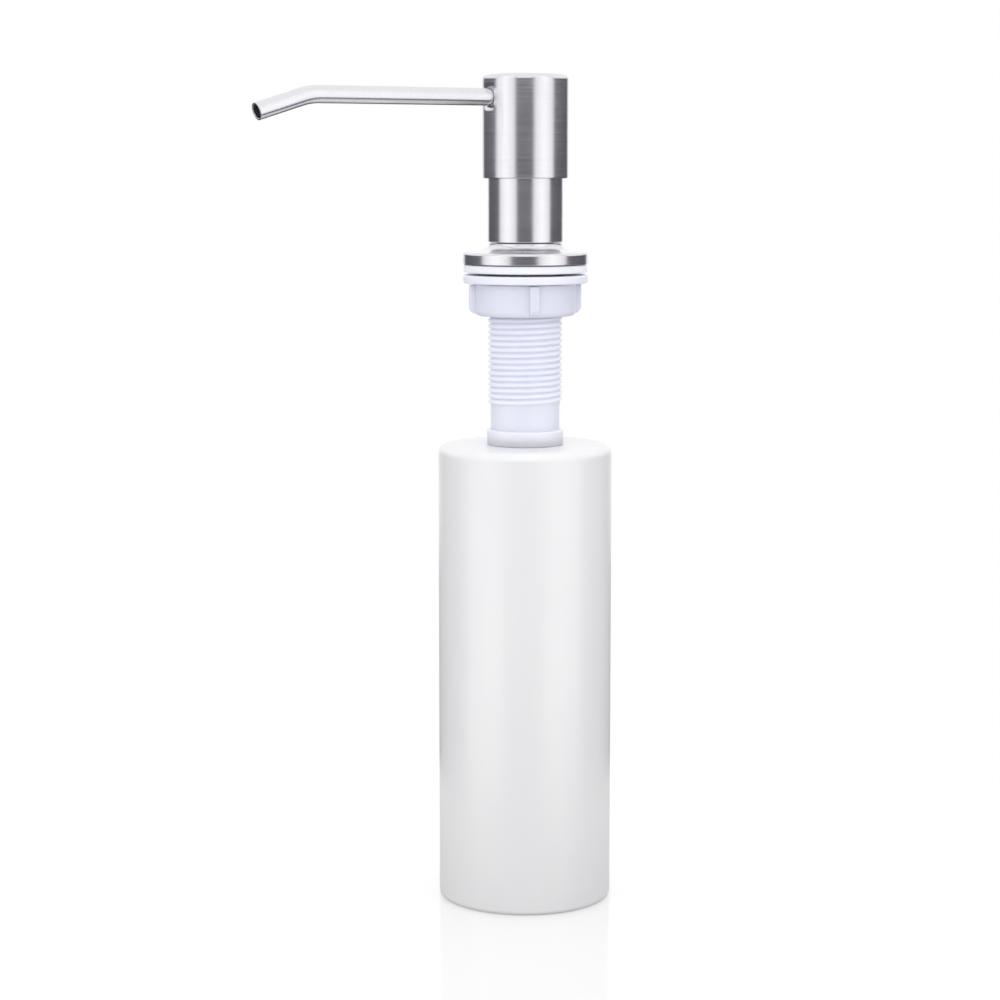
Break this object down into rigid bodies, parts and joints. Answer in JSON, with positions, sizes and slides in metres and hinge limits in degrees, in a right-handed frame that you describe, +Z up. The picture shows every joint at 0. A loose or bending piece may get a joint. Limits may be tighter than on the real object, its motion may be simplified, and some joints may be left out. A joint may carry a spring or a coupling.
{
  "type": "soap pump dispenser",
  "caption": "Deck-mounted soap dispenser: a bottle screwed under a threaded shank with a clamp nut, and a press-down pump head with a swivelling spout.",
  "frame": {"origin": "centre of the bottle's flat base, on the axis of the pump", "axes": "+Z up along the axis of the bottle, shank and pump; the spout points along -X"},
  "size_m": [0.1322, 0.06, 0.2869],
  "materials": {
    "bottle_plastic": "milky blow-moulded polyethylene, satin",
    "cool_white_plastic": "moulded, satin",
    "pump_plastic": "moulded, satin",
    "tube_plastic": "translucent extrusion",
    "gasket_white": "matte foam rubber",
    "seal_black": "matte",
    "brushed_nickel": "fine satin brushing",
    "bright_steel": "polished"
  },
  "bodies": {
    "base": {"threaded_shank": "cool_white_plastic", "flange_cover": "brushed_nickel", "deck_gasket": "gasket_white"},
    "washer": {"clamp_washer": "gasket_white"},
    "nut": {"mounting_nut": "cool_white_plastic"},
    "seal": {"bottle_seal": "gasket_white"},
    "bottle": {"bottle": "bottle_plastic"},
    "pump_unit": {"collar_sleeve": "brushed_nickel", "pump_seat": "pump_plastic", "seat_o_ring": "seal_black", "chamber_gasket": "seal_black", "pump_chamber": "pump_plastic", "dip_tube": "tube_plastic", "stem_guide": "pump_plastic", "stem_seal": "seal_black"},
    "inlet_valve": {"inlet_ball": "bright_steel"},
    "piston_unit": {"piston_stem": "pump_plastic", "piston": "pump_plastic", "piston_seal": "seal_black", "return_spring": "bright_steel"},
    "outlet_valve": {"outlet_ball": "bright_steel"},
    "head": {"head_core": "pump_plastic", "head_shell": "brushed_nickel", "spout_tube": "brushed_nickel", "spout_o_ring": "seal_black"}
  },
  "joints": [
    {"name": "nut_travel", "type": "slide", "parent": "base", "child": "washer", "axis": [0, 0, -1], "range_m": [-0.0005, 0.03]},
    {"name": "nut_spin", "type": "hinge", "parent": "washer", "child": "nut", "pos_m": [0, 0, 0.21], "axis": [0, 0, -1], "range_deg": [-91, 5402]},
    {"name": "bottle_travel", "type": "slide", "parent": "base", "child": "seal", "axis": [0, 0, -1], "range_m": [0, 0.01]},
    {"name": "bottle_unscrew", "type": "hinge", "parent": "seal", "child": "bottle", "pos_m": [0, 0, 0.155], "axis": [0, 0, -1], "range_deg": [-1, 1802]},
    {"name": "pump_lift", "type": "slide", "parent": "base", "child": "pump_unit", "axis": [0, 0, 1], "range_m": [0, 0.225]},
    {"name": "inlet_ball_lift", "type": "slide", "parent": "pump_unit", "child": "inlet_valve", "axis": [0, 0, 1], "range_m": [0, 0.0012]},
    {"name": "press", "type": "slide", "parent": "pump_unit", "child": "piston_unit", "axis": [0, 0, -1], "range_m": [0, 0.016], "stiffness_N_per_m": 500, "springref_m": -0.006, "deforming": ["return_spring"]},
    {"name": "outlet_ball_lift", "type": "slide", "parent": "piston_unit", "child": "outlet_valve", "axis": [0, 0, 1], "range_m": [0, 0.0012]},
    {"name": "spout_swivel", "type": "hinge", "parent": "piston_unit", "child": "head", "pos_m": [0, 0, 0.267], "axis": [0, 0, 1], "continuous": true}
  ],
  "couplings": [
    {"joint": "nut_spin", "follows": "nut_travel", "rad_per_m": 3141.6},
    {"joint": "bottle_unscrew", "follows": "bottle_travel", "rad_per_m": 3141.6}
  ]
}
